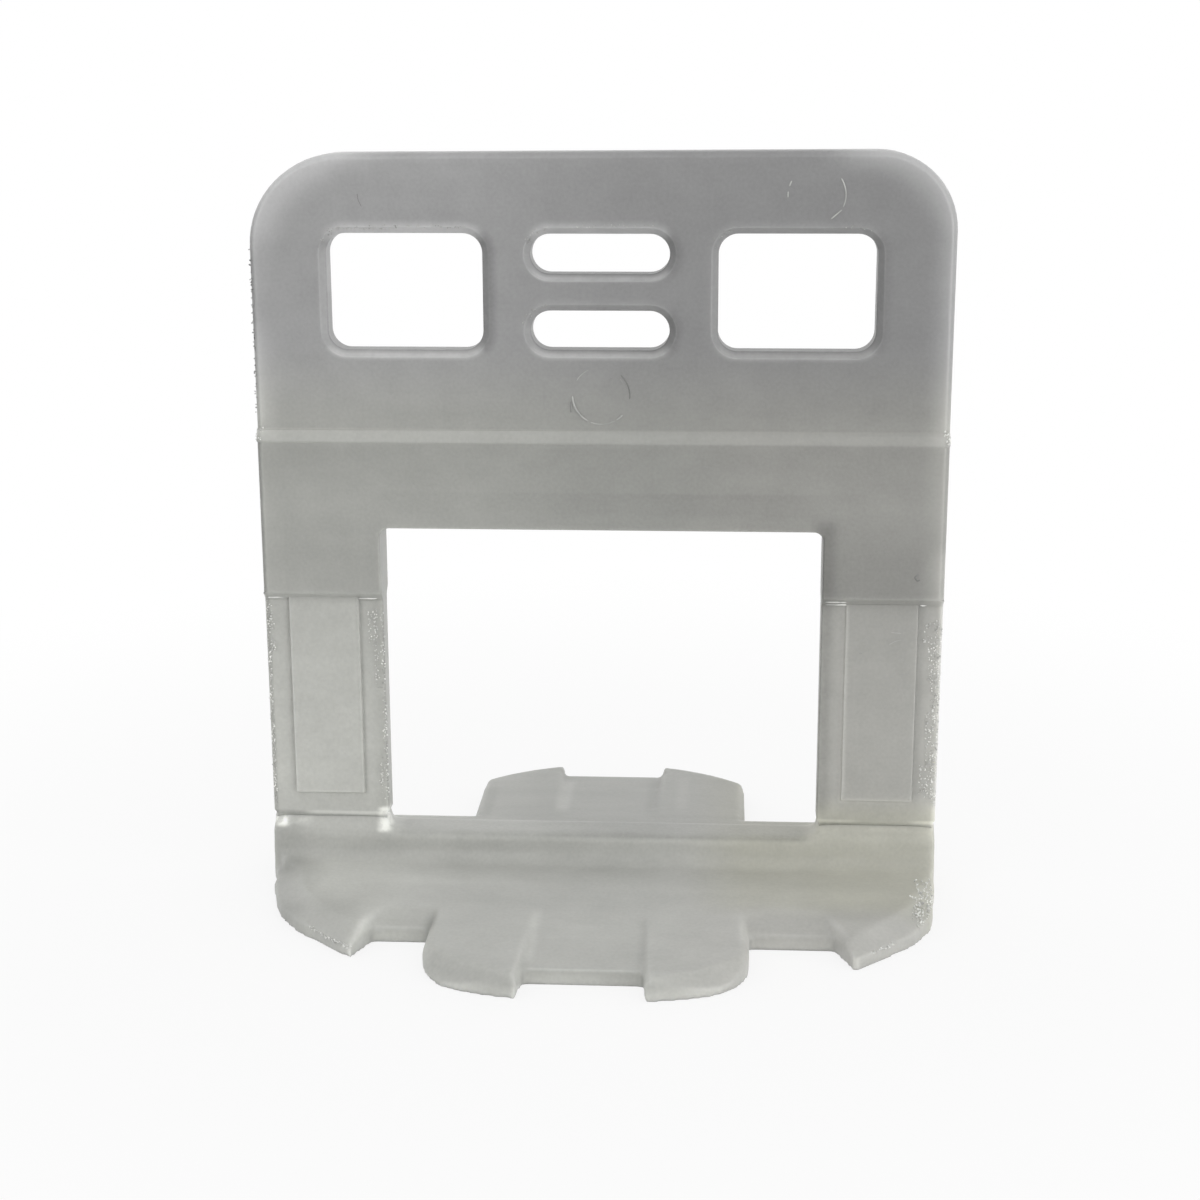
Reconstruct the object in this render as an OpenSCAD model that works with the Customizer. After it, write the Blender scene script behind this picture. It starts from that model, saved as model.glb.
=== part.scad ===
// Tile leveling clip, moulded in one piece: a slotted tab stands on two thin
// break-off legs, and the legs stand on the rib of a wide oval foot.
// +X is to the right, the front looks toward -Y, and the foot rests on Z = 0.

/* [Tab] */
// Width of the tab, and of the foot under it
tab_w = 43; // [39:0.5:48]
// Height of the head, above the bevelled step
head_h = 17; // [15:0.5:22]
// Thickness of the head
head_t = 2.2; // [1.8:0.1:2.5]
// Radius of the right top corner
corner_r = 4.8; // [3:0.1:7]
// Radius of the left top corner
left_corner_r = 5.8; // [3:0.1:7]
// Height of the frame between window and head
lintel_h = 6.25; // [4.5:0.25:9]
// Thickness of the frame round the window
frame_t = 2.7; // [2.6:0.1:3]
// Height of the bevelled step under the head
step_h = 0.8; // [0.4:0.1:1.5]
// Bevel along the outer edges of head and frame
edge_bevel = 0.3; // [0.1:0.05:0.5]

/* [Head openings] */
// Width of each grip opening
grip_w = 9.6; // [8:0.2:10.4]
// Height of each grip opening
grip_h = 7.1; // [6:0.1:9]
// Corner radius of a grip opening
grip_r = 1.2; // [0.6:0.1:2]
// Middle of the clip to the middle of a grip opening
grip_x = 12; // [11.6:0.1:13.2]
// Head's lower edge to the middle of the openings
grip_z = 8.5; // [7.5:0.1:9.5]
// Length of each slot
slot_w = 8.5; // [6:0.5:9.5]
// Height of each slot
slot_h = 2.4; // [1.6:0.1:2.8]
// Bar left between the two slots
slot_gap = 2.25; // [1.5:0.05:3]
// Bevel round the openings
rim_bevel = 0.4; // [0.1:0.05:0.5]

/* [Wedge window] */
// Width of the window for the wedge
win_w = 27.8; // [24:0.2:29]
// Height of the window above the rib
win_h = 20.15; // [18.5:0.05:24]
// Radius of the window's two upper corners
win_r = 0.6; // [0.3:0.1:1.2]
// Fillet where the rib meets the inner edges of the legs
win_low_r = 0.4; // [0.2:0.1:0.8]
// Height of the stiffening bar on the back, over the window
bar_h = 1.9; // [1:0.1:3]
// How far that bar stands out
bar_t = 0.4; // [0.2:0.1:0.8]
// Clear strip between the window and that bar
bar_gap = 0.65; // [0.3:0.05:1.2]

/* [Legs in the joint] */
// Thickness of the thin legs
leg_t = 1.6; // [1.2:0.1:2]
// Height of the thin legs above the rib
leg_h = 15.9; // [13:0.1:17.5]
// Length of the taper into the frame
leg_taper = 0.5; // [0.3:0.1:1]
// How far a spacer pad stands out from the leg
pad_t = 0.2; // [0.1:0.05:0.35]
// Margin between a pad and the sides of the leg
pad_margin = 1.55; // [1:0.05:2.5]
// Rib to the lower end of a pad
pad_low = 2.4; // [1.8:0.1:5]
// Depth of the break-off score
score_d = 0.15; // [0.1:0.05:0.35]
// Half the height of the score
score_h = 0.25; // [0.2:0.05:0.35]
// Rib to the middle of the score
score_z = 0.95; // [0.95:0.05:1.3]
// Height of the sloped shoulder at the leg's foot
shoulder_h = 0.55; // [0.3:0.05:0.6]

/* [Foot] */
// Depth of the foot, front to back
foot_d = 38; // [35.6:0.2:42]
// Radius of the front and back arcs of the foot
foot_arc_r = 23.4; // [22.6:0.2:28]
// Thickness of the foot beside the rib
foot_t = 1.7; // [1.5:0.05:2.2]
// Thickness of the foot at the tips of its lobes
tip_t = 1.4; // [1.3:0.05:1.5]
// How far the foot's round outline lies to the right of the middle
foot_shift = 0.3; // [0:0.05:0.4]
// How far that outline stays inside the tab's left side
foot_side = 0.3; // [0.1:0.05:0.4]
// Thickness of the floors between the lobes, at their front edges
floor_t = 1; // [0.8:0.05:1.2]
// Height of the rib from the underside
rib_h = 3.6; // [3.2:0.1:5]
// Thickness of the rib
rib_t = 3; // [2.8:0.1:4]
// Fillet between rib and foot
rib_fillet = 1.2; // [0.4:0.1:1.4]
// Front edge of the raised middle
mid_front = 9; // [8:0.1:10]
// Back edge of the raised middle
mid_back = 7; // [6:0.1:8]

/* [Lobes] */
// Middle of the foot to the inner side of a middle lobe, at its root
lobe_in = 3.1; // [2.5:0.1:4.5]
// How far the gap between the middle lobes lies to the left of the middle
gap_shift = 0.2; // [0:0.05:0.4]
// Middle of the foot to the outer side of the front left middle lobe
left_lobe_out = 9.9; // [9:0.1:10.5]
// Middle of the foot to the outer side of the front right middle lobe
right_lobe_out = 9.5; // [9:0.1:10.5]
// Middle of the foot to the outer side of a back middle lobe
back_lobe_out = 9.4; // [9:0.1:10.5]
// Width of the slope down a lobe's sides
side_slope = 0.45; // [0.2:0.05:0.7]
// Draft of a middle lobe's inner side from root to tip
lobe_draft = 0.6; // [0:0.05:0.8]
// Radius of a middle lobe's outer corner
lobe_r = 4; // [2:0.1:4.5]
// Radius of the arc that ends the top of the middle lobes
lobe_top_r = 12.6; // [11.5:0.1:14]
// Front edge of the floor between the front lobes
recess_front = 16.6; // [15:0.1:17.2]
// Back edge of the floor between the back lobes
recess_back = 17.5; // [15:0.1:17.6]
// Front edge of the floors in the two front notches
notch_front = 11.1; // [10.2:0.1:12]
// Middle of the foot to the front left corner lobe
left_lobe_x = 12.6; // [12.2:0.1:15]
// Middle of the foot to the front right corner lobe
right_lobe_x = 13.8; // [12.2:0.1:15]
// How far the front left corner lobe stays inside the arc
left_reach = 0.4; // [0:0.1:0.8]
// How far the front right corner lobe reaches past the arc
right_reach = 0.7; // [0:0.1:1.2]
// Middle of the foot to the two back corner lobes
back_lobe_x = 16.3; // [15.5:0.1:17.5]
// How far a corner lobe's inner side leans out over its length
lobe_lean = 3.9; // [1:0.1:4.5]
// Thickness of the corner lobes at their outer edges
corner_tip_t = 0.8; // [0.6:0.05:1.1]
// Width of the slope along those outer edges
corner_slope = 1.8; // [0.8:0.1:2.4]

/* [Hidden] */
$fn = 72;
eps = 0.05;
through = 1;
half_w = tab_w / 2;
leg_in = win_w / 2;
win_top = rib_h + win_h;
head_z = win_top + lintel_h;
top_z = head_z + head_h;
leg_top = rib_h + leg_h;
grip_mid = head_z + grip_z;
slot_pitch = slot_h + slot_gap;
arc_mid = foot_arc_r - foot_d / 2;
disc_r = half_w + foot_shift - foot_side;
flat_y = rib_t / 2 + rib_fillet;
under_lobe = side_slope + lobe_lean * (notch_front - mid_front) / (foot_d / 2 - mid_front);
big = 2 * (foot_d + tab_w);

// Radius of the tab's top corner on the left (-1) or the right (1)
function corner(side) = side < 0 ? left_corner_r : corner_r;

// Height of the foot's top at a distance from the middle, beside the rib
function foot_z(y) = foot_t - (foot_t - tip_t) * (y - flat_y) / (foot_d / 2 - flat_y);

// Inner side of a middle lobe at a distance from the middle, from its root's side
function inner_side(in, y) = in + lobe_draft * (y - mid_front) / (foot_d / 2 - mid_front);

// Points of a short arc, for rounded corners in plan
function arc_pts(c, r, a0, a1, n = 7) =
    [for (i = [0 : n]) let (a = a0 + (a1 - a0) * i / n) c + r * [cos(a), sin(a)]];

// A profile drawn in Y and Z, drawn out along X about the middle
module along_x(len) {
    rotate([90, 0, 90]) translate([0, 0, -len / 2]) linear_extrude(len) children();
}

// A rounded opening through the tab, centred on its own middle
module opening(w, h, r, t) {
    zs = h - 2 * r > eps ? [-1, 1] : [0];
    rotate([90, 0, 0]) translate([0, 0, -t / 2 - through]) linear_extrude(t + 2 * through) union() {
        square([w - 2 * r, h], center = true);
        if (h - 2 * r > eps) square([w, h - 2 * r], center = true);
        for (x = [-1, 1], z = zs) translate([x * (w / 2 - r), z * (h / 2 - r)]) circle(r);
    }
    for (face = [-1, 1]) scale_face(face) translate([0, t / 2, 0]) opening_bevel(w, h, r, zs);
}

// The same shape on the front or the back face
module scale_face(face) {
    if (face > 0) children();
    else mirror([0, 1, 0]) children();
}

// Bevel of a rounded opening: it starts at the face and narrows into the tab
module opening_bevel(w, h, r, zs) {
    c = rim_bevel;
    along_x(w - 2 * r) polygon([[-c, -h / 2], [eps, -h / 2 - c - eps], [eps, h / 2 + c + eps], [-c, h / 2]]);
    if (len(zs) > 1) translate([0, 0, -(h / 2 - r)]) linear_extrude(h - 2 * r)
        polygon([[-w / 2, -c], [w / 2, -c], [w / 2 + c + eps, eps], [-w / 2 - c - eps, eps]]);
    for (x = [-1, 1], z = zs) translate([x * (w / 2 - r), -c, z * (h / 2 - r)])
        rotate([-90, 0, 0]) cylinder(h = c + eps, r1 = r, r2 = r + c + eps);
}

// Side view of the tab: rib, shoulder, score, thin leg, taper, frame, step, head
module tab_profile() {
    half = [
        [rib_t / 2, 0], [rib_t / 2, rib_h],
        [leg_t / 2, rib_h + shoulder_h],
        [leg_t / 2, rib_h + score_z - score_h],
        [leg_t / 2 - score_d, rib_h + score_z],
        [leg_t / 2, rib_h + score_z + score_h],
        [leg_t / 2, leg_top - leg_taper], [frame_t / 2, leg_top],
        [frame_t / 2, head_z - step_h], [head_t / 2, head_z], [head_t / 2, top_z]];
    n = len(half);
    polygon(concat(half, [for (i = [n - 1 : -1 : 0]) [-half[i][0], half[i][1]]]));
}

// Square bar on edge, for bevelling a straight edge of height h
module bevel_bar(h) {
    rotate([0, 0, 45]) cube([edge_bevel * sqrt(2), edge_bevel * sqrt(2), 2 * h], center = true);
}

// Bevels along the sides, the top and the two round corners of the tab
module tab_bevels() {
    for (x = [-1, 1], y = [-1, 1]) {
        translate([x * half_w, y * frame_t / 2, (leg_top + head_z - step_h) / 2])
            bevel_bar((head_z - step_h - leg_top) / 2);
        let (r = corner(x)) {
            translate([x * half_w, y * head_t / 2, (head_z + top_z - r) / 2])
                bevel_bar((top_z - r - head_z) / 2);
            intersection() {
                translate([x * (half_w - r), y * head_t / 2, top_z - r]) rotate([90, 0, 0])
                    rotate_extrude() translate([r, 0]) rotate(45)
                        square(edge_bevel * sqrt(2), center = true);
                translate([x * (half_w - r + tab_w / 4), 0, top_z - r + tab_w / 4])
                    cube([tab_w / 2, 2 * frame_t, tab_w / 2], center = true);
            }
        }
    }
    for (y = [-1, 1]) translate([(corner(-1) - corner(1)) / 2, y * head_t / 2, top_z]) rotate([0, 90, 0])
        bevel_bar(half_w - (corner(-1) + corner(1)) / 2);
}

// Front view of the tab: straight sides and two round top corners
module tab_outline() {
    rotate([90, 0, 0]) translate([0, 0, -rib_t]) linear_extrude(2 * rib_t) union() {
        for (x = [-1, 1]) let (r = corner(x)) {
            translate([x < 0 ? -half_w : 0, 0]) square([half_w, top_z - r]);
            translate([x < 0 ? -half_w + r : 0, 0]) square([half_w - r, top_z]);
            translate([x * (half_w - r), top_z - r]) circle(r);
        }
    }
}

// The window, from the rib up, with its rounded corners
module window_cut() {
    t = 2 * (rib_t + bar_t);
    rotate([90, 0, 0]) translate([0, 0, -t / 2]) linear_extrude(t) union() {
        translate([-leg_in, rib_h + win_low_r]) square([win_w, win_h - win_r - win_low_r]);
        translate([-leg_in + win_r, rib_h + win_low_r]) square([win_w - 2 * win_r, win_h - win_low_r]);
        translate([-leg_in + win_low_r, rib_h]) square([win_w - 2 * win_low_r, 2 * win_low_r]);
        for (x = [-1, 1]) {
            translate([x * (leg_in - win_r), win_top - win_r]) circle(win_r);
            translate([x * (leg_in - win_low_r), rib_h + win_low_r]) circle(win_low_r);
        }
    }
}

// Small notches where the score runs out at the sides of each leg
module score_notches() {
    for (x = [-1, 1], edge = [leg_in, half_w]) translate([x * edge, 0, rib_h + score_z])
        rotate([0, 45, 0]) cube([score_d * 1.2, 2 * leg_t, score_d * 1.2], center = true);
}

// Spacer pads on both faces of both legs
module pads() {
    low = rib_h + pad_low;
    high = leg_top - leg_taper / 2;
    for (x = [-1, 1], y = [-1, 1])
        translate([x * (leg_in + half_w) / 2, y * (leg_t / 2 + pad_t) / 2, (low + high) / 2])
            cube([half_w - leg_in - 2 * pad_margin, leg_t / 2 + pad_t, high - low], center = true);
}

// Stiffening bar on the back, just over the window
module back_bar() {
    translate([-leg_in, 0, win_top + bar_gap]) cube([win_w, frame_t / 2 + bar_t, bar_h]);
}

module tab() {
    difference() {
        union() {
            intersection() {
                along_x(tab_w) tab_profile();
                tab_outline();
            }
            pads();
            back_bar();
        }
        tab_bevels();
        window_cut();
        score_notches();
        for (x = [-1, 1]) translate([x * grip_x, 0, grip_mid]) opening(grip_w, grip_h, grip_r, head_t);
        for (z = [-1, 1]) translate([0, 0, grip_mid + z * slot_pitch / 2])
            opening(slot_w, slot_h, slot_h / 2, head_t);
    }
}

// Outline of the foot: a disc as wide as the tab, cut to flatter arcs in front and behind
module foot_arcs(reach = 0) {
    intersection() {
        translate([-half_w, -half_w, -eps]) cube([tab_w, tab_w, rib_h]);
        translate([foot_shift, 0, -eps]) cylinder(h = rib_h, r = disc_r, $fn = 160);
        translate([0, arc_mid, -eps]) cylinder(h = rib_h, r = foot_arc_r + reach, $fn = 160);
        translate([0, -arc_mid, -eps]) cylinder(h = rib_h, r = foot_arc_r + reach, $fn = 160);
    }
}

// Top of the foot: flat beside the rib, then falling gently to the tips
module foot_top() {
    tip = foot_d / 2 + right_reach;
    along_x(tab_w + 2 * through)
        polygon([[-tip, 0], [tip, 0], [tip, foot_z(tip)],
            [flat_y, foot_t], [-flat_y, foot_t], [-tip, foot_z(tip)]]);
}

// Cut that slopes a lobe's side from p to q: the lobe lies on the left of that line
module side_cut(p, q) {
    rise = foot_t - floor_t;
    translate([p[0], p[1], floor_t]) rotate(atan2(q[1] - p[1], q[0] - p[0])) rotate([90, 0, 90])
        linear_extrude(norm(q - p))
            polygon([[-through, 0], [0, 0], [side_slope, rise], [side_slope, rib_h], [-through, rib_h]]);
}

// Cone round (0, y) with radius r at the height z, for sloping the top of a lobe at its end
module end_cone(y, r, z, run) {
    translate([0, y, 0]) cylinder(h = rib_h, r1 = r + run * z, r2 = r + run * (z - rib_h), $fn = 160);
}

// A middle lobe on the front right, in plan: drafted inner side and a round outer corner
module mid_lobe_plan(in, out) {
    yr = sqrt(pow(foot_arc_r - lobe_r, 2) - pow(out - lobe_r, 2)) - arc_mid;
    a = -atan2(yr + arc_mid, out - lobe_r);
    corner = arc_pts([out - lobe_r, -yr], lobe_r, 0, a);
    last = corner[len(corner) - 1];
    run = last[0] - in;
    polygon(concat(
        [[in, -rib_t / 2], [out, -rib_t / 2]],
        corner,
        [last + run * [sin(a), -cos(a)], [in + lobe_draft, -foot_d / 2 - through],
            [in + lobe_draft, -foot_d / 2], [in, -mid_front]]));
}

// A corner lobe on the front right, in plan: its inner side leans outward
module corner_lobe_plan(x, root) {
    polygon([[x, -rib_t / 2], [half_w + through, -rib_t / 2], [half_w + through, -foot_d / 2 - through],
        [x + lobe_lean, -foot_d / 2], [x, -root]]);
}

module lobe(reach = 0) {
    intersection() {
        linear_extrude(rib_h) children();
        foot_arcs(reach);
        foot_top();
    }
}

// A middle lobe on the front right: both sides slope down to the floors, the inner one
// as far as slope_end, and the top ends in an arc
module mid_lobe(in, out, slope_end) {
    difference() {
        intersection() {
            lobe() mid_lobe_plan(in, out);
            end_cone(lobe_top_r - foot_d / 2, lobe_top_r, tip_t, 1);
        }
        side_cut([in, -mid_front], [inner_side(in, slope_end), -slope_end]);
        side_cut([out, -foot_d / 2], [out, -mid_back]);
    }
}

// A corner lobe on the front right: its inner side slopes, and its top falls to the outer edge
module corner_lobe(x, reach, root) {
    difference() {
        intersection() {
            lobe(reach) corner_lobe_plan(x, root);
            end_cone(arc_mid, foot_arc_r + reach, corner_tip_t, corner_slope / (foot_t - corner_tip_t));
        }
        side_cut([x, -root], [x + lobe_lean, -foot_d / 2]);
    }
}

// Floor between two lobes: a ramp from the foot's top down to a thin front edge
module ramp_floor(x0, x1, root, y) {
    intersection() {
        translate([(x0 + x1) / 2, 0, 0]) along_x(x1 - x0)
            polygon([[-rib_t / 2, 0], [-y, 0], [-y, floor_t],
                [-root, foot_z(root)], [-rib_t / 2, foot_z(root)]]);
        foot_arcs();
    }
}

module foot() {
    // raised middle, between the corner lobes
    intersection() {
        union() {
            translate([-left_lobe_x, -mid_front, 0]) cube([left_lobe_x + right_lobe_x, mid_front, foot_t]);
            translate([-back_lobe_x, 0, 0]) cube([2 * back_lobe_x, mid_back, foot_t]);
        }
        foot_top();
    }
    // middle lobes, front and back
    mirror([1, 0, 0]) mid_lobe(lobe_in + gap_shift, left_lobe_out, foot_d / 2);
    mid_lobe(lobe_in - gap_shift, right_lobe_out, foot_d / 2);
    mirror([0, 1, 0]) {
        mirror([1, 0, 0]) mid_lobe(lobe_in + gap_shift, back_lobe_out, recess_back);
        mid_lobe(lobe_in - gap_shift, back_lobe_out, recess_back);
    }
    // corner lobes: two in front, two narrow ones behind
    corner_lobe(right_lobe_x, right_reach, mid_front);
    mirror([1, 0, 0]) corner_lobe(left_lobe_x, -left_reach, mid_front);
    for (x = [0, 1]) mirror([x, 0, 0]) mirror([0, 1, 0]) corner_lobe(back_lobe_x, 0, mid_back);
    // floors between them
    ramp_floor(-left_lobe_x - under_lobe, right_lobe_x + under_lobe, mid_front, notch_front);
    gap_half = lobe_in + lobe_draft;
    ramp_floor(-gap_half - gap_shift, gap_half - gap_shift, mid_front, recess_front);
    mirror([0, 1, 0]) ramp_floor(-gap_half - gap_shift, gap_half - gap_shift, mid_back, recess_back);
    // fillets between rib and foot
    for (y = [0, 1]) mirror([0, y, 0]) intersection() {
        difference() {
            translate([-half_w, rib_t / 2 - eps, 0]) cube([tab_w, rib_fillet + eps, foot_t + rib_fillet]);
            translate([0, rib_t / 2 + rib_fillet, foot_t + rib_fillet]) rotate([0, 90, 0])
                    cylinder(h = tab_w + 2 * through, r = rib_fillet, center = true);
        }
        foot_arcs();
    }
}

module clip() {
    color([0.80, 0.81, 0.79]) union() {
        tab();
        foot();
    }
}

clip();
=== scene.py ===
import math

import bmesh
import bpy
from bpy.props import FloatProperty, FloatVectorProperty, IntProperty, PointerProperty
from bpy.types import Operator, Panel, PropertyGroup
from mathutils import Matrix, Vector


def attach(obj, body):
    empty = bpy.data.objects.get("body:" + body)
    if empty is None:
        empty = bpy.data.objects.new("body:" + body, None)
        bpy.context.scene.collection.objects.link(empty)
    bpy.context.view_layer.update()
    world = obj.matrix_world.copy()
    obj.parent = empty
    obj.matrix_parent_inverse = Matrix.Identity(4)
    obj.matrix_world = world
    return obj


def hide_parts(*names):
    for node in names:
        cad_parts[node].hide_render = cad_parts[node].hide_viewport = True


bl_info = {
    "name": "Tile leveling clip",
    "version": (1, 0, 0),
    "blender": (4, 5, 0),
    "location": "3D View > Sidebar > Clip",
    "description": "Finishes a moulded tile leveling clip and sets up a plain studio round it",
    "category": "Object",
}

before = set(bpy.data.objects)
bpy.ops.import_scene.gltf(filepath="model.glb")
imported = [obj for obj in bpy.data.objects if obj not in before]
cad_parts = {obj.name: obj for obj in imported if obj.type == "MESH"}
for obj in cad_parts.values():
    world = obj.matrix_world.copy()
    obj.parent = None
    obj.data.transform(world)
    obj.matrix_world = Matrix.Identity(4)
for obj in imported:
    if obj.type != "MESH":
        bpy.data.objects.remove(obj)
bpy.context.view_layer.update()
MM = 0.001

# Every table below is in mm, as the clip's solid lies: x to the right, y to the back, z up.
# Front faces, the window's sides and the middle of the score
HEAD_FACE, FRAME_FACE, PAD_FACE, LEG_FACE = -1.1, -1.35, -1.0, -0.8
WINDOW_EDGE = 13.9
SCORE = 4.55
# Each opening in the head: centre x and z, half width and height, corner radius
OPENINGS = ((-12.0, 38.5, 4.8, 3.55, 1.2), (12.0, 38.5, 4.8, 3.55, 1.2),
            (0.0, 40.825, 4.25, 1.2, 1.2), (0.0, 36.175, 4.25, 1.2, 1.2))
# The tab: centre x and z, half width and height. A pad: centre z, half width and height, corner radius
TAB = (0.0, 13.5, 21.5, 33.5)
PAD = (12.75, 2.25, 6.75, 0.05)

# Plastic flowed back into the score, so the legs are thicker there by the factor SCORE_FILL.
# They go on down inside the rib, slimmer by SLIM at each side and by the factor THIN
SCORE_FILL, ROOT_DEPTH, SLIM, THIN = 1.205, 1.3, 0.25, 0.75
# The head droops to the left of DROOP_X and above DROOP_Z, fully after DROOP_RISE
DROOP_X, DROOP_Z, DROOP_RISE = -10, 42.5, 3.5
# The space of the right leg's front pad, and how its top follows the leg's taper as it sinks
PAD_LEFT, PAD_RIGHT, PAD_TOP, TAPER = 15, 20.3, 19.4, 0.91
# Edges are sharp from SHARP degrees on. Those below CRISP_Z or this close to an opening get the share FINE
# of the rounding
SHARP, FINE, CRISP_Z, CRISP_REACH = 25, 0.4, 5.5, 0.6
# The leg roots' slopes: lowest height, distance under the score, and reach from the middle
ROOT_LOW, ROOT_GAP, ROOT_REACH = 2.5, 0.12, 2.2
# How the foot's left and right ends warped: y and the share of the largest warp, over 0 to the right.
# It fades in over WARP_FADE from these x on
LEFT_WARP = ((-11.0, 0.0), (-9.9, -0.60), (-8.9, -0.50), (-7.8, -0.46), (-6.7, -0.18),
             (-5.6, 0.30), (-4.5, 0.68), (-3.3, 0.85), (-2.1, 0.54), (-1.4, 0.0))
RIGHT_WARP = ((-12.2, 0.0), (-10.0, 0.36), (-9.0, 0.50), (-7.9, 0.72), (-6.8, 0.46),
              (-5.7, 0.0), (-4.6, -0.34), (-2.3, -0.22), (-1.4, 0.0))
WARP_LEFT, WARP_RIGHT, WARP_FADE = -14, 16, 3

# Tone of the plastic by height, on the left and on the right, with painted light in it: thick walls are greyer and
# thin ones lighter, as if light shone through them, and the left is lighter, as if lit from there
LEFT_LIT_TONES = ((0.0, 0.50), (3.2, 0.50), (4.2, 0.52), (5.4, 0.54), (6.6, 0.57), (11.0, 0.56), (15.0, 0.53),
              (18.8, 0.50), (19.6, 0.415), (22.0, 0.40), (24.8, 0.415), (26.2, 0.405), (28.8, 0.375),
              (30.2, 0.405), (32.0, 0.40), (34.6, 0.375), (38.0, 0.365), (42.0, 0.36), (45.2, 0.372), (47.0, 0.40))
RIGHT_SHADED_TONES = ((0.0, 0.44), (4.0, 0.455), (5.4, 0.46), (6.6, 0.43), (11.0, 0.415), (15.0, 0.405), (18.2, 0.375),
               (19.2, 0.345), (19.8, 0.285), (22.0, 0.295), (24.2, 0.32), (25.2, 0.335), (26.4, 0.325),
               (28.8, 0.305), (30.2, 0.32), (31.2, 0.292), (34.5, 0.264), (38.0, 0.262), (44.0, 0.266), (47.0, 0.27))
# Top of the tone ramps
RAMP = 50.0
# How much painted light and shade change the wall's tone above, below, left and right of each opening, and the reach
# of the painted light below
RIM_LIGHT = ((0.44, 0.39, -0.04, -0.31, 0.70), (0.17, 0.30, 0.04, -0.14, 0.75),
             (0.46, 0.48, 0.02, -0.20, 0.56), (0.12, 0.44, 0.02, -0.20, 0.72))
# Painted light and shade on the sides of the foot's lobes and recesses, as if lit from the right: left, right, front,
# back, and how much lighter they are
LOBE_SIDE_LIGHT = ((-3.75, -3.2, -15.5, -9.4, 0.17), (-10.1, -9.6, -11.9, -10.0, -0.30), (3.0, 3.5, -16.0, -10.5, -0.09),
              (9.0, 9.3, -13.2, -10.2, 0.13), (-14.2, -13.7, -14.3, -10.8, 0.14), (-3.8, -2.9, 8.5, 16.0, 0.16),
              (2.5, 3.5, 8.5, 16.5, -0.09), (-9.5, -8.2, 7.0, 13.0, -0.12), (4.6, 5.4, 9.0, 16.0, 0.07))
# Painted light and shade along the pads' edges: the pad's centre x, and how much lighter they are left, right and
# below
PAD_EDGE_LIGHT = ((-17.7, -0.04, -0.13, 0.04), (17.7, 0.16, 0.0, 0.10))
# Painted light and shade on upright strips beside the right pad: left, right, bottom, top, softness at the ends, and
# how much lighter
LEG_STRIP_LIGHT_AND_SHADE = ((19.9, 20.35, 6.0, 19.5, 0.3, -0.09), (14.5, 15.3, 4.9, 19.5, 0.2, 0.05))
# Painted highlights where the edges by the score catch the light: left, right, bottom, top, softness, and how much
# lighter
SCORE_HIGHLIGHTS = ((-21.5, -20.5, 3.75, 4.3, 0.3, 0.95), (-20.6, -19.0, 3.9, 4.25, 0.3, 0.24),
                (-14.55, -13.8, 3.5, 5.0, 0.28, 0.66), (17.2, 19.9, 4.0, 4.2, 0.2, 0.10),
                (14.0, 15.3, 3.85, 4.15, 0.2, 0.12))

# How deep the middle of a mark's line lies in its face, in shares of its half width
BOLD, SOLID, PLAIN, SLIGHT, FAINT = 0.4, 0.6, 0.7, 0.78, 0.84
# Where two ejector pins pressed on the head
MIDDLE_PIN, RIGHT_PIN = (0.06, 32.2), (13.02, 44.37)
# Parts of their rings, as painted highlights where a flank catches the light and painted shade where it faces away:
# pin, how much smaller the radius, from and to in degrees, depth
RING_HIGHLIGHT_ARCS = ((MIDDLE_PIN, 0.0, 178, 246, BOLD), (MIDDLE_PIN, 0.0, 300, 320, BOLD), (MIDDLE_PIN, 0.0, 242, 304, PLAIN),
              (MIDDLE_PIN, 0.0, 112, 152, FAINT), (MIDDLE_PIN, 0.2, 12, 46, FAINT), (RIGHT_PIN, 0.04, -30, 40, PLAIN),
              (RIGHT_PIN, 0.04, 148, 166, PLAIN), (RIGHT_PIN, 0.04, 170, 188, PLAIN))
RING_SHADE_ARCS = ((MIDDLE_PIN, 0.0, -12, 52, PLAIN),)
# Strokes: face, depth, then x and z of each point. Those on the right pad are points alone
LIGHT_STROKES = ((HEAD_FACE, PLAIN, (14.59, 43.55), (13.83, 42.9)),
                 (HEAD_FACE, FAINT, (-15.15, 43.88), (-14.77, 44.17)))
DARK_STROKES = ((HEAD_FACE, BOLD, (-1.80, 31.9), (-1.80, 31.1)),
                (HEAD_FACE, FAINT, (-14.7, 44.53), (-14.65, 44.06), (-14.42, 43.58)),
                (FRAME_FACE, SOLID, (19.92, 21.2), (19.6, 21.0), (19.75, 20.75), (20.0, 20.8)))
PAD_STROKES = (((16.2, 15.87), (16.65, 15.88)), ((18.8, 14.53), (19.55, 14.54)), ((18.2, 17.28), (19.0, 17.22)),
               ((18.1, 16.43), (18.55, 16.69), (19.04, 16.83)))
# Painted highlights: bright dashes at the legs' tops, near the skin, and how deep they lie in it, in the same shares
DASHES = (((-21.3, -0.95, 19.08), (-20.2, -0.95, 19.09)), ((-15.45, -0.95, 19.06), (-14.25, -0.95, 19.07)),
          ((14.0, -1.0, 19.36), (15.45, -1.0, 19.37)), ((14.12, -0.9, 19.0), (15.45, -0.9, 19.02)),
          ((20.05, -0.9, 19.02), (20.45, -0.9, 19.03)))
DASH_DEPTH = 0.25

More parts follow.
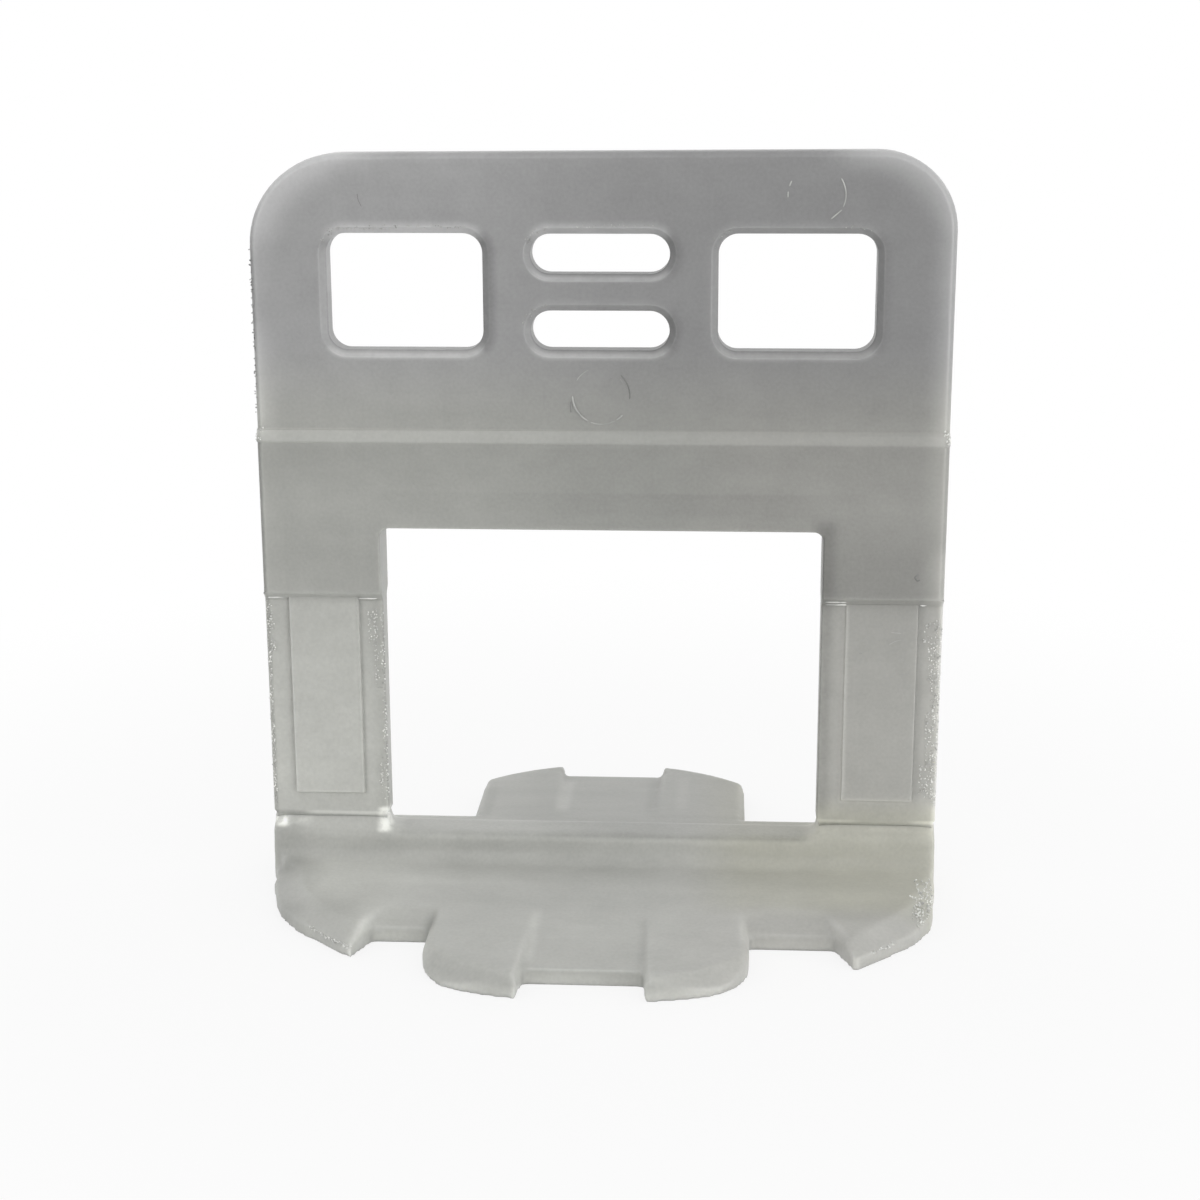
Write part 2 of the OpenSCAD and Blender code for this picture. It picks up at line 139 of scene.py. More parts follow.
# Where the plastic is torn: x and z of both ends on the legs, x of the step's ends, height and points on the foot
TORN_LEGS = ((-14.02, 5.6, -14.02, 18.2), (-14.4, 13.0, -14.45, 18.4), (-14.35, 6.0, -14.35, 8.4),
             (-14.75, 16.0, -14.8, 18.2), (-21.35, 5.0, -21.35, 18.8), (-21.1, 15.5, -21.1, 18.5),
             (21.35, 5.6, 21.35, 18.2), (21.1, 6.0, 21.1, 18.0), (20.8, 6.2, 20.8, 12.0),
             (20.85, 13.5, 20.75, 17.6), (20.5, 6.5, 20.5, 8.5), (20.4, 16.6, 20.6, 17.8))
TORN_STEP = (-21.45, -21.2, 21.2, 21.4)
TORN_FOOT = ((1.5, (20.9, -3.2), (21.2, -5.5), (20.6, -8.0), (20.2, -9.4)),
             (1.5, (20.1, -3.4), (20.3, -6.0), (19.8, -8.6)),
             (1.5, (19.6, -5.9), (19.9, -6.6), (19.6, -8.8)), (1.5, (20.6, -3.6), (20.7, -7.4)),
             (1.5, (20.3, -5.2), (20.3, -8.4)), (1.5, (20.0, -7.0), (20.2, -9.0)),
             (1.3, (-18.3, -12.2), (-17.3, -13.6), (-15.9, -15.2), (-14.6, -16.2), (-13.8, -16.5)),
             (1.3, (-17.0, -13.6), (-15.6, -14.9)), (1.3, (17.2, -13.3), (18.8, -11.7)))
# Rough rims over the openings and the rough left side, x and z of both ends, and rows round the openings' corners
ROUGH_RIMS = ((-16.4, 42.55, -8.0, 42.45), (-16.6, 42.35, -12.4, 42.3),
              (-1.5, 42.5, 3.4, 42.55), (14.8, 42.5, 16.4, 42.3))
ROUGH_SIDE = ((-21.42, 31.0, -21.42, 41.0),)
ROUGH_ROWS = (0.2, 0.45)
# Share of red, green and blue in torn plastic
TORN_SHARES = (0.995, 1.0, 0.965)

# Half the floor's width and the soft edge of the shadow's disc, in m
FLOOR_REACH, DISC = 20.0, (30 * MM, 90 * MM)
# The side lamp: its place, what it faces and its width, in m
LAMP_AT, LAMP_TO, LAMP_SIZE = (0.22, -0.11, 0.006), (0, 0, 0.02), 0.08
# The camera: its place, and how far it turns left, looks down and leans, in degrees
CAMERA_AT, YAW, PITCH, ROLL = (7.659, -128.49, 52.063), 3.46, 14.432, 0.178


class ClipPlastic(PropertyGroup):
    """Colour and skin of the natural, undyed plastic"""

    tint: FloatVectorProperty(
        name="Tint", description="Colour that the plastic's own grey is multiplied by",
        subtype="COLOR", size=3, default=(1.0, 1.0, 1.0), min=0, max=1)
    warmth: FloatProperty(
        name="Warmth", description="How much yellower the plastic is under the head",
        default=0.055, min=0, max=0.5)
    # scales the painted light and shade round the openings
    rim: FloatProperty(
        name="Rim light", description="How strongly the edges of the openings light up",
        default=1.0, min=0, max=2)
    grain: FloatProperty(name="Grain", description="Strength of the fine grain", default=0.10, min=0, max=1)
    roughness: FloatProperty(
        name="Roughness", description="Roughness of the moulded skin", default=0.42, min=0, max=1)
    depth: FloatProperty(
        name="Light depth", description="How far light travels inside the plastic",
        default=0.8 * MM, min=0, unit="LENGTH")


class ClipEdges(PropertyGroup):
    """How far the mould's corners are rounded, and how far the clip came out of its true shape"""

    tab: FloatProperty(
        name="Tab edges", description="Width of the rounding on the tab's edges",
        default=0.10 * MM, min=0.01 * MM, max=0.15 * MM, unit="LENGTH")
    flow: FloatProperty(
        name="Foot grain", description="Size of the faces of the foot's flowed skin",
        default=0.2 * MM, min=0.15 * MM, max=0.5 * MM, unit="LENGTH")
    passes: IntProperty(
        name="Foot softness", description="How often the foot's edges are eased", default=4, min=0, max=20)
    root: IntProperty(
        name="Leg roots", description="How often the slope from the rib to the legs is eased",
        default=22, min=0, max=60)
    droop: FloatProperty(
        name="Head droop", description="How far the head's left corner sank while it cooled",
        default=0.15 * MM, min=0, max=0.5 * MM, unit="LENGTH")
    sink: FloatProperty(
        name="Pad sink", description="How much flatter the right leg's front pad came out",
        default=0.11 * MM, min=0, max=0.15 * MM, unit="LENGTH")
    warp: FloatProperty(
        name="Foot warp", description="How far the foot's ends warped while it cooled, at most",
        default=0.56 * MM, min=0, max=0.6 * MM, unit="LENGTH")


class ClipMarks(PropertyGroup):
    """Marks of the mould and torn edges"""

    ring: FloatProperty(
        name="Ejector ring", description="Radius of the ring that an ejector pin leaves",
        default=1.77 * MM, min=0.5 * MM, max=3 * MM, unit="LENGTH")
    line: FloatProperty(
        name="Ring line", description="Half the width of the raised line of a ring",
        default=0.07 * MM, min=0.02 * MM, max=0.2 * MM, unit="LENGTH")
    bead: FloatProperty(
        name="Torn bead", description="Radius of the largest bead of torn plastic",
        default=0.085 * MM, min=0.02 * MM, max=0.2 * MM, unit="LENGTH")
    gap: FloatProperty(
        name="Bead gap", description="Distance along a torn edge from one bead to the next",
        default=0.055 * MM, min=0.03 * MM, max=0.5 * MM, unit="LENGTH")
    seed: IntProperty(
        name="Seed", description="Number that the torn beads are scattered from", default=3, min=0)


class ClipStudio(PropertyGroup):
    """Lights and camera"""

    horizon: FloatProperty(
        name="Light from the sides", description="Strength of the room's light near the horizon",
        default=1.24, min=0)
    overhead: FloatProperty(
        name="Light from above", description="Strength of the room's light overhead", default=0.96, min=0)
    lamp: FloatProperty(
        name="Side lamp", description="Power of the low soft lamp on the right",
        default=0.22, min=0, unit="POWER")
    lens: FloatProperty(
        name="Lens", description="Focal length of the camera on a 36 mm sensor",
        default=62.63, min=10, max=200)


class Wiring:
    """Adds nodes to one tree and joins them as they are added"""

    def __init__(self, tree):
        self.tree = tree
        tree.nodes.clear()

    def add(self, kind, fed=None, **settings):
        """Adds a node, sets it up and feeds its inputs, each by its name or place"""
        node = self.tree.nodes.new(kind)
        for name, value in settings.items():
            setattr(node, name, value)
        for name, value in (fed or {}).items():
            if isinstance(value, bpy.types.NodeSocket):
                self.tree.links.new(value, node.inputs[name])
            else:
                node.inputs[name].default_value = value
        return node

    def math(self, operation, *values, clamp=False):
        return self.add("ShaderNodeMath", dict(enumerate(values)), operation=operation, use_clamp=clamp).outputs[0]

    def ease(self, value, start, end, low=0.0, high=1.0):
        """Goes softly from low at start to high at end"""
        fed = {"Value": value, "From Min": start, "From Max": end, "To Min": low, "To Max": high}
        return self.add("ShaderNodeMapRange", fed, interpolation_type="SMOOTHSTEP").outputs[0]

    def both(self, *masks):
        total = masks[0]
        for mask in masks[1:]:
            total = self.math("MULTIPLY", total, mask)
        return total

    def band(self, value, low, high, soft):
        """1 between low and high, 0 outside, over soft edges"""
        return self.both(self.ease(value, low - soft, low + soft), self.ease(value, high + soft, high - soft))

    def mix(self, share, first, second, kind="RGBA"):
        """One value where share is 0, the other where it is 1"""
        start, end = (6, 2) if kind == "RGBA" else (2, 0)
        return self.add("ShaderNodeMix", {0: share, start: first, start + 1: second}, data_type=kind).outputs[end]


def new_material(name):
    """A material and the wiring for its nodes"""
    mat = bpy.data.materials.new(name)
    mat.use_nodes = True
    return mat, Wiring(mat.node_tree)


def add_object(context, name, data):
    """Puts a new object into the scene"""
    obj = bpy.data.objects.new(name, data)
    context.collection.objects.link(obj)
    return obj


def plain_mesh(context, blank):
    """The mesh that an object's modifiers make of it. The object itself goes"""
    graph = context.evaluated_depsgraph_get()
    mesh = bpy.data.meshes.new_from_object(blank.evaluated_get(graph), depsgraph=graph)
    bpy.data.objects.remove(blank)
    return mesh


def smooth_metres(mesh):
    """Turns a mesh in mm into a smooth one in metres"""
    mesh.transform(Matrix.Scale(MM, 4))
    mesh.polygons.foreach_set("use_smooth", [True] * len(mesh.polygons))


def edge_rounding(obj, width):
    """Rounds the weighted edges of a moulding, as a mould's own corners do"""
    bevel = obj.modifiers.new("Mould corners", "BEVEL")
    bevel.width = width
    bevel.segments = 3
    bevel.limit_method = "WEIGHT"
    bevel.use_clamp_overlap = False
    bevel.miter_outer = "MITER_ARC"
    bevel.harden_normals = True


def moulded_solid():
    """The clip's exact solid, with its loose faces joined and its flat faces whole"""
    same_point, same_plane = 2e-6, math.radians(0.6)
    bm = bmesh.new()
    bm.from_mesh(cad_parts["clip"].data)
    bmesh.ops.remove_doubles(bm, verts=bm.verts, dist=same_point)
    bmesh.ops.dissolve_limit(bm, angle_limit=same_plane, verts=bm.verts, edges=bm.edges)
    if not all(edge.is_manifold for edge in bm.edges):
        raise RuntimeError("the clip's faces don't close")
    return bm


def cut_level(bm, height, keep_above):
    """Cuts a solid level at a height and returns the new faces that close it"""
    parts = [*bm.verts, *bm.edges, *bm.faces]
    cut = bmesh.ops.bisect_plane(
        bm, geom=parts, dist=1e-7, plane_co=(0, 0, height), plane_no=(0, 0, 1),
        clear_inner=keep_above, clear_outer=not keep_above)
    rim = [e for e in cut["geom_cut"] if isinstance(e, bmesh.types.BMEdge) and e.is_boundary]
    return bmesh.ops.edgenet_fill(bm, edges=rim)["faces"]


def near_right_pad(x, z):
    """True for places in mm on the right leg that are as far to the side and as low as its pads"""
    return PAD_LEFT < x < PAD_RIGHT and z < PAD_TOP


def fine_edge(edge):
    """True for the edges of the openings' bevels, of the score and of the flatter pad, which stay crisp"""
    x, y, z = (edge.verts[0].co + edge.verts[1].co) / 2 / MM
    if z < CRISP_Z or (y < 0 and near_right_pad(x, z)):
        return True
    reach = CRISP_REACH
    return any(abs(x - cx) < hw + reach and abs(z - cz) < hh + reach for cx, cz, hw, hh, _ in OPENINGS)


def along(value, stops):
    """The level at a value, on straight lines between (value, level) pairs that rise, and 0 outside"""
    for (a, low), (b, high) in zip(stops, stops[1:]):
        if a <= value <= b:
            return low + (high - low) * (value - a) / (b - a)
    return 0.0


def finish_piece(obj, material):
    obj.data.materials.clear()
    obj.data.materials.append(material)
    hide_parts("clip")
    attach(obj, "root")


def own_plastic(context):
    return bpy.data.materials.get("milky_plastic") or milky_plastic(context.scene.clip_plastic)


class CLIP_OT_tab(Operator):
    """Make the tab with its head, openings and legs from the clip's exact solid, with rounded edges"""

    bl_idname = "clip.tab"
    bl_label = "Mould the tab"

    def execute(self, context):
        edges = context.scene.clip_edges
        bm = moulded_solid()
        bottoms = cut_level(bm, SCORE * MM, True)
        if not bottoms:
            raise RuntimeError("the legs weren't cut from the foot")
        self.root_legs(bm, bottoms)
        self.settle(bm, edges)
        bmesh.ops.recalc_face_normals(bm, faces=bm.faces)
        self.weigh_edges(bm)
        mesh = bpy.data.meshes.new("clip_tab")
        bm.to_mesh(mesh)
        bm.free()
        obj = add_object(context, "clip_tab", mesh)
        edge_rounding(obj, edges.tab)
        finish_piece(obj, own_plastic(context))
        return {"FINISHED"}

    def root_legs(self, bm, bottoms):
        """Fills the score up a little and carries the legs on down inside the rib"""
        for vert in {v for face in bottoms for v in face.verts}:
            vert.co.y *= SCORE_FILL
        roots = bmesh.ops.extrude_face_region(bm, geom=bottoms)["geom"]
        bmesh.ops.delete(bm, geom=bottoms, context="FACES_KEEP_BOUNDARY")
        for vert in (v for v in roots if isinstance(v, bmesh.types.BMVert)):
            vert.co.z -= ROOT_DEPTH * MM
            right_side = -18 < vert.co.x / MM < 0 or vert.co.x > 18 * MM
            vert.co.x += SLIM * MM * (-1 if right_side else 1)
            vert.co.y *= THIN

    def settle(self, bm, edges):
        """Lets the head droop towards its left corner and the right front pad sink"""
        for vert in bm.verts:
            x, y, z = (size / MM for size in vert.co)
            if x < DROOP_X and z > DROOP_Z:
                vert.co.z -= edges.droop * min((z - DROOP_Z) / DROOP_RISE, 1)
            if near_right_pad(x, z) and abs(y - PAD_FACE) < 0.01:
                vert.co.y += edges.sink
                if z > PAD_TOP - 0.4:
                    vert.co.z -= TAPER * edges.sink

    def weigh_edges(self, bm):
        """Marks the sharp edges and says how far each is rounded"""
        for edge in bm.edges:
            edge.smooth = not edge.is_manifold or edge.calc_face_angle() < math.radians(SHARP)
        for face in bm.faces:
            face.smooth = True
        weight = bm.edges.layers.float.new("bevel_weight_edge")
        for edge in bm.edges:
            if not edge.smooth and max(v.co.z for v in edge.verts) > (SCORE + 0.01) * MM:
                edge[weight] = FINE if fine_edge(edge) else 1.0


class CLIP_OT_foot(Operator):
    """Make the foot with its rib and lobes, with the soft, flowed edges of the real one"""

    bl_idname = "clip.foot"
    bl_label = "Mould the foot"

    def execute(self, context):
        edges = context.scene.clip_edges
        skin = self.flowed_skin(context, edges)
        bm = bmesh.new()
        bm.from_mesh(skin)
        for _ in range(edges.root):
            slope = [v for v in bm.verts if ROOT_LOW < v.co.z < SCORE - ROOT_GAP and abs(v.co.y) < ROOT_REACH]
            bmesh.ops.smooth_vert(bm, verts=slope, factor=0.5, use_axis_y=True, use_axis_z=True)
        # the foot's front edge draws in beside the tab and stands out at the two corner lobes
        for vert in bm.verts:
            x, y, z = vert.co
            if y < LEFT_WARP[-1][0]:
                left = along(y, LEFT_WARP) * min(max((WARP_LEFT - x) / WARP_FADE, 0), 1)
                right = along(y, RIGHT_WARP) * min(max((x - WARP_RIGHT) / WARP_FADE, 0), 1)
                vert.co.x += edges.warp / MM * (left + right)
        bm.to_mesh(skin)
        bm.free()
        smooth_metres(skin)
        obj = add_object(context, "clip_foot", skin)
        finish_piece(obj, own_plastic(context))
        return {"FINISHED"}

    def flowed_skin(self, context, edges):
        """The foot's solid in mm with an even skin of small faces and eased edges"""
        bm = moulded_solid()
        cut_level(bm, SCORE * MM, False)
        bmesh.ops.scale(bm, vec=(1 / MM,) * 3, verts=bm.verts)
        mesh = bpy.data.meshes.new("foot_blank")
        bm.to_mesh(mesh)
        bm.free()
        blank = add_object(context, "foot_blank", mesh)
        melt = blank.modifiers.new("Flowed skin", "REMESH")
        melt.mode = "VOXEL"
        melt.voxel_size = edges.flow / MM
        ease = blank.modifiers.new("Soft edges", "SMOOTH")
        ease.factor = 0.5
        ease.iterations = edges.passes
        return plain_mesh(context, blank)


def tone_by_height(w, height, stops):
    """A colour that follows the height in mm, from (height, tone) pairs"""
    ramp = w.add("ShaderNodeValToRGB", {0: w.math("DIVIDE", height, RAMP)})
    band = ramp.color_ramp
    while len(band.elements) < len(stops):
        band.elements.new(1.0)
    for element, (z, tone) in zip(band.elements, stops):
        element.position = z / RAMP
        element.color = (tone, tone, tone, 1)
    return ramp.outputs[0]


OUTLINE_INPUTS = ("X", "Z", "Centre X", "Centre Z", "Half width", "Half height", "Corner")


def outline_group():
    """Distance in mm to a rounded outline, more than 0 outside it, and masks for its sides and its right half"""
    group = bpy.data.node_groups.new("rim_of_opening", "ShaderNodeTree")
    for name in OUTLINE_INPUTS:
        group.interface.new_socket(name, in_out="INPUT", socket_type="NodeSocketFloat")
    for name in ("Distance", "Sideways", "Right"):
        group.interface.new_socket(name, in_out="OUTPUT", socket_type="NodeSocketFloat")
    w = Wiring(group)
    given = w.add("NodeGroupInput").outputs
    dx = w.math("SUBTRACT", given["X"], given["Centre X"])
    ax = w.math("SUBTRACT", w.math("ABSOLUTE", dx), given["Half width"])
    dz = w.math("SUBTRACT", given["Z"], given["Centre Z"])
    az = w.math("SUBTRACT", w.math("ABSOLUTE", dz), given["Half height"])
    qx, qz = w.math("ADD", ax, given["Corner"]), w.math("ADD", az, given["Corner"])
    px, pz = w.math("MAXIMUM", qx, 0.0), w.math("MAXIMUM", qz, 0.0)
    length = w.math("SQRT", w.math("ADD", w.math("MULTIPLY", px, px), w.math("MULTIPLY", pz, pz)))
    inner = w.math("MINIMUM", w.math("MAXIMUM", qx, qz), 0.0)
    w.add("NodeGroupOutput", {
        "Distance": w.math("SUBTRACT", w.math("ADD", length, inner), given["Corner"]),
        "Sideways": w.ease(w.math("SUBTRACT", ax, az), -0.7, 0.7), "Right": w.ease(dx, -0.3, 0.3)})
    return group


class Places:
    """Where a point of the clip lies, in mm, and the soft masks that its plastic is made from"""

    def __init__(self, w):
        self.w = w
        place = w.add("ShaderNodeTexCoord").outputs["Object"]
        self.point = w.add("ShaderNodeVectorMath", {0: place, "Scale": 1 / MM}, operation="SCALE").outputs[0]
        self.x, self.y, self.z = w.add("ShaderNodeSeparateXYZ", {0: self.point}).outputs
        self.deep = w.math("ABSOLUTE", self.y)
        self.wide = w.math("ABSOLUTE", self.x)
        self.front = w.ease(self.y, -0.45, -0.7)
        self.foot = w.ease(self.deep, 1.7, 2.7)
        self.low = w.ease(self.z, 4.0, 3.4)
        # share of the right, for the painted light that is stronger on the left
        even = w.ease(self.x, -24.0, 24.0)
        self.side = w.math("ADD", w.math("MULTIPLY", even, 0.5), w.math("MULTIPLY", w.ease(self.x, -11.0, 4.5), 0.5))

    def outline(self, group, *sizes):
        """The outputs of one rounded outline: centre x and z, half width and height, corner radius"""
        fed = dict(zip(OUTLINE_INPUTS, (self.x, self.z, *sizes)))
        return self.w.add("ShaderNodeGroup", fed, node_tree=group).outputs

    def halves(self, left, right, middle=1.0):
        """One value on the left, the other on the right, and soft between"""
        return self.w.ease(self.x, -middle, middle, left, right)

    def heights(self, low, high):
        """One value on the legs, the other over them, and soft between"""
        return self.w.ease(self.z, 18.6, 20.4, low, high)


class Facing:
    """Which way the surface faces, as soft masks: to either side, up and to the front"""

    def __init__(self, w):
        x, y, z = w.add("ShaderNodeSeparateXYZ", {0: w.add("ShaderNodeNewGeometry").outputs["Normal"]}).outputs
        self.aside = w.ease(w.math("ABSOLUTE", x), 0.5, 0.95)
        self.up = w.ease(z, 0.3, 0.8)
        self.ahead = w.ease(y, -0.6, -0.95)


class Shade:
    """How much lighter or darker than plain the plastic is, added up one mask at a time"""

    def __init__(self, w, total):
        self.w, self.total = w, total

    def lift(self, size, *masks):
        self.total = self.w.math("MULTIPLY_ADD", self.w.both(*masks), size, self.total)

    def scale(self, size, *masks):
        share = self.w.math("MULTIPLY_ADD", self.w.both(*masks), size, 1.0)
        self.total = self.w.math("MULTIPLY", self.total, share)


def noise(w, places, scale, stretch=(1, 1, 1), detail=2.0, seed=(0, 0, 0)):
    """Noise from -1 to 1, so many waves a mm, drawn out along the axes that stretch makes small"""
    move = w.add("ShaderNodeMapping", {"Vector": places.point, "Location": seed, "Scale": stretch})
    wave = w.add("ShaderNodeTexNoise", {"Vector": move.outputs[0], "Scale": scale, "Detail": detail})
    return w.math("MULTIPLY_ADD", wave.outputs[0], 2.0, -1.0)


def foot_tone_and_light(w, p, facing):
    """Tone of the foot, with painted light and shade: whitest at its left end as painted light, darker at the back as
    painted shade, where it is seen under the tab
    """
    # painted light: lighter at the left end, darker to the right, and painted shade at the back under the tab
    foot = Shade(w, w.ease(p.x, -16.0, -8.0, 0.525, 0.425))
    foot.scale(w.ease(p.x, -9.0, -4.0, -0.04, -0.145), w.ease(p.y, 2.0, 5.0))
    # painted light beside the rib, then towards the front edge, and painted shade on the left corner lobe
    foot.scale(0.08, w.ease(p.x, 0.0, -11.0), w.ease(p.y, -9.0, -5.0), w.ease(p.y, 1.0, -1.0))
    foot.total = w.math("MULTIPLY", foot.total, w.ease(p.y, -7.0, -12.0, 0.98, 1.03))
    foot.scale(-0.18, w.ease(p.x, -13.5, -16.0), w.ease(p.y, -6.0, -10.0))
    # painted light on front faces low down, where contact shade falls by the floor, and a little darker higher up
    foot.scale(w.ease(p.z, 1.1, 0.3, -0.04, 0.30), facing.ahead)
    # painted light and shade on the sides of the lobes and recesses
    for left, right, front, back, size in LOBE_SIDE_LIGHT:
        foot.scale(size, w.band(p.x, left, right, 0.3), w.band(p.y, front, back, 0.8), p.low)
    # the two ends: painted shade at the left end, painted light at the right
    foot.scale(w.ease(p.x, -20.6, -17.0, -0.32, 0.0), w.ease(p.y, -1.2, -2.2), w.ease(p.y, -12.0, -10.0))
    foot.scale(0.10, w.ease(p.x, 12.0, 16.0), w.ease(p.y, -9.0, -6.0))
    return foot.total


def rims(w, p, group):
    """Painted light above and below the openings, painted shade to the right of them and on their inner walls"""
    total = None
    broken = w.ease(noise(w, p, 0.9, stretch=(1.0, 1.0, 0.4), detail=3, seed=(4, 4, 9)), -0.4, 0.3, 0.82, 1.12)
    for sizes, (over, under, left, right, reach) in zip(OPENINGS, RIM_LIGHT):
        rim = p.outline(group, *sizes)
        far = rim["Distance"]
        above = w.ease(p.z, sizes[1] - 0.3, sizes[1] + 0.3)
        light = w.both(w.ease(above, 0.0, 1.0, under, over), w.ease(far, w.ease(above, 0.0, 1.0, reach, 0.95), 0.25),
                       w.math("MAXIMUM", w.ease(far, 0.02, 0.3), above), broken)
        shade = w.both(w.ease(rim["Right"], 0.0, 1.0, left, right), w.ease(far, 1.1, 0.35))
        lift = w.both(w.mix(rim["Sideways"], light, shade, "FLOAT"), p.front)
        # painted shade on each opening's inner wall, weaker on its upper part
        wall = w.both(w.ease(far, 0.12, 0.0), w.ease(p.deep, 0.9, 0.75), w.math("MULTIPLY_ADD", above, -0.6, 1.0))
        lift = w.math("MULTIPLY_ADD", wall, -0.22, lift)
        total = lift if total is None else w.math("ADD", total, lift)
    return total


def shade_tab(w, p, change, group, facing):
    """Painted light and shade along the tab's outer edges, round the window, at the step and on the pads"""
    # painted light glowing along the outer edges, wide at the round corners, weak on the legs, the frame and beside
    # the left opening
    far = p.outline(group, *TAB, w.ease(p.x, -10.0, 10.0, 8.0, 5.9))["Distance"]
    edge = w.math("POWER", w.ease(far, -2.2, 0.3), 1.5)
    edge = w.both(edge, w.ease(p.z, 3.0, 5.0), w.math("MAXIMUM", w.ease(p.z, 46.0, 44.0), w.ease(p.wide, 12.0, 17.0)))
    legs = w.math("MULTIPLY", w.ease(p.z, 21.0, 18.0), p.halves(1.0, 0.5, 10.0))
    left = w.math("ADD", w.ease(p.z, 29.9, 29.2, 0.0, 0.85), w.math("MULTIPLY", w.band(p.z, 36.2, 41.5, 1.2), 0.6))
    dim = p.halves(left, w.math("MULTIPLY", w.band(p.z, 22.5, 29.3, 0.7), 0.5), 10.0)
    change.lift(1.0, edge, p.halves(0.38, 0.62, 10.0), w.math("SUBTRACT", 1.0, legs), w.math("SUBTRACT", 1.0, dim))
    # painted shade on a thin margin along the very edge, turning to painted light on the right leg, and painted shade
    # on the window's margin and its inner wall
    far = p.outline(group, *TAB, p.halves(5.8, 4.8))["Distance"]
    change.lift(p.halves(-0.30, w.ease(p.z, 20.4, 18.6, -0.16, 0.14)), w.ease(far, -0.40, -0.12),
                w.ease(p.wide, 16.0, 20.0), w.ease(p.z, 3.6, 4.6), w.ease(p.z, 45.0, 42.0, 0.35, 1.0))
    change.lift(p.halves(p.heights(-0.09, -0.03), p.heights(-0.17, -0.25)),
                w.ease(p.wide, WINDOW_EDGE + 1.2, WINDOW_EDGE + 0.2), w.ease(p.wide, WINDOW_EDGE - 1.0, WINDOW_EDGE),
                p.front, w.ease(p.z, 4.8, 5.6), w.ease(p.z, 24.9, 23.9))
    change.lift(p.halves(p.heights(-0.28, -0.15), -0.26), w.ease(p.wide, WINDOW_EDGE + 0.14, WINDOW_EDGE + 0.04),
                w.ease(p.z, 3.9, 4.9), w.ease(p.z, 23.7, 23.3))
    # painted shade on the narrow sides and the top, a painted highlight on the sloped step under the head, and painted
    # light and shade along the pads and beside them
    change.lift(-0.22, facing.aside, w.ease(p.z, 3.0, 4.0), w.ease(p.wide, 17.0, 20.0))
    change.lift(-0.07, w.ease(p.z, 46.4, 46.85), w.ease(p.wide, 17.0, 13.0))
    change.lift(0.18, w.band(p.z, 29.25, 30.06, 0.08), p.front)
    for centre, left, right, under in PAD_EDGE_LIGHT:
        pad = p.outline(group, centre, *PAD)
        line = w.ease(w.math("ABSOLUTE", pad["Distance"]), 0.30, 0.06)
        change.lift(w.ease(pad["Right"], 0.0, 1.0, left, right), line, p.front, pad["Sideways"])
        change.lift(under, line, p.front, w.ease(pad["Sideways"], 1.0, 0.0), w.ease(p.z, 9.0, 8.0))
    for left, right, bottom, top, soft, size in LEG_STRIP_LIGHT_AND_SHADE:
        change.lift(size, w.band(p.x, left, right, 0.2), w.band(p.z, bottom, top, soft), p.front)
    # a darker band over the window
    change.lift(w.ease(p.x, -9.0, 7.0, -0.045, -0.085), w.ease(p.z, 26.25, 26.0), w.ease(p.z, 24.3, 25.1),
                w.ease(p.wide, 15.5, 11.5), p.front)


def shade_rib(w, p, change, facing):
    """Painted light and shade on the rib and the score over it, and painted highlights beside the score"""
    rib = w.both(w.ease(p.deep, 3.2, 2.0), p.low)
    # painted shade on the rib's left part, painted light along its lower front
    change.lift(-0.07, w.band(p.x, -15.0, -3.0, 2.0), w.band(p.z, 2.4, 3.3, 0.35), rib)
    change.lift(w.ease(p.wide, 14.0, 6.0, 0.04, 0.09), w.band(p.z, 1.15, 1.75, 0.25), rib, w.ease(p.y, 0.0, -1.0))
    # painted shade on its flat top between the legs
    change.lift(w.ease(p.x, -6.0, 2.0, -0.14, -0.26), facing.up, w.ease(p.z, 2.9, 3.3), w.ease(p.z, 4.0, 3.8),
                w.ease(p.deep, 3.0, 1.7), w.ease(p.wide, WINDOW_EDGE - 0.1, WINDOW_EDGE - 1.2))
    # painted shade on the rib's left half and at its left end
    change.lift(w.ease(p.x, 0.0, 6.0, -0.07, 0.01), rib)
    change.lift(-0.12, w.ease(p.x, -18.5, -20.5), w.ease(p.deep, 3.5, 2.0), w.ease(p.z, 4.3, 3.9))
    # the score: painted light that lifts the shade of its groove along most of it, and painted shade at the outer
    # ends, where it is darkest
    right = w.both(w.ease(p.x, 15.5, 17.0), w.ease(p.x, 20.6, 19.6), -0.26)
    depth = w.math("ADD", w.ease(p.x, -18.6, -19.9, 0.30, -0.12), right)
    change.lift(depth, w.band(p.z, 4.45, 4.68, 0.08), p.front)
    # painted highlights beside the score, where its edges catch the light, broken up by noise
    torn = w.ease(noise(w, p, 2.2, detail=4, seed=(7, 2, 5)), -0.35, 0.25, 0.35, 1.15)
    for left, right, low, high, soft, size in SCORE_HIGHLIGHTS:
        change.lift(size, w.band(p.x, left, right, soft), w.band(p.z, low, high, soft * 0.6),
                    w.ease(p.y, 0.2, -0.3), torn)


def plastic_colour(w, p, grey, warmth):
    """The grey as a colour: yellower towards the foot, most at its right"""
    warm = w.ease(p.z, 36.0, 30.0, 0.0, warmth)
    right = w.both(w.ease(p.z, 6.6, 4.6), w.ease(p.y, -10.0, -7.0), w.ease(p.x, 5.0, 10.0, 0.0, 0.06))
    warm = w.math("ADD", warm, right)
    red = w.ease(p.z, 36.0, 28.0, 1.0, w.ease(p.x, 2.0, 10.0, 0.992, 1.004))
    blue = w.math("MULTIPLY", grey, w.math("SUBTRACT", 1.0, warm))
    return w.add("ShaderNodeCombineColor", {0: w.math("MULTIPLY", grey, red), 1: grey, 2: blue}).outputs[0]


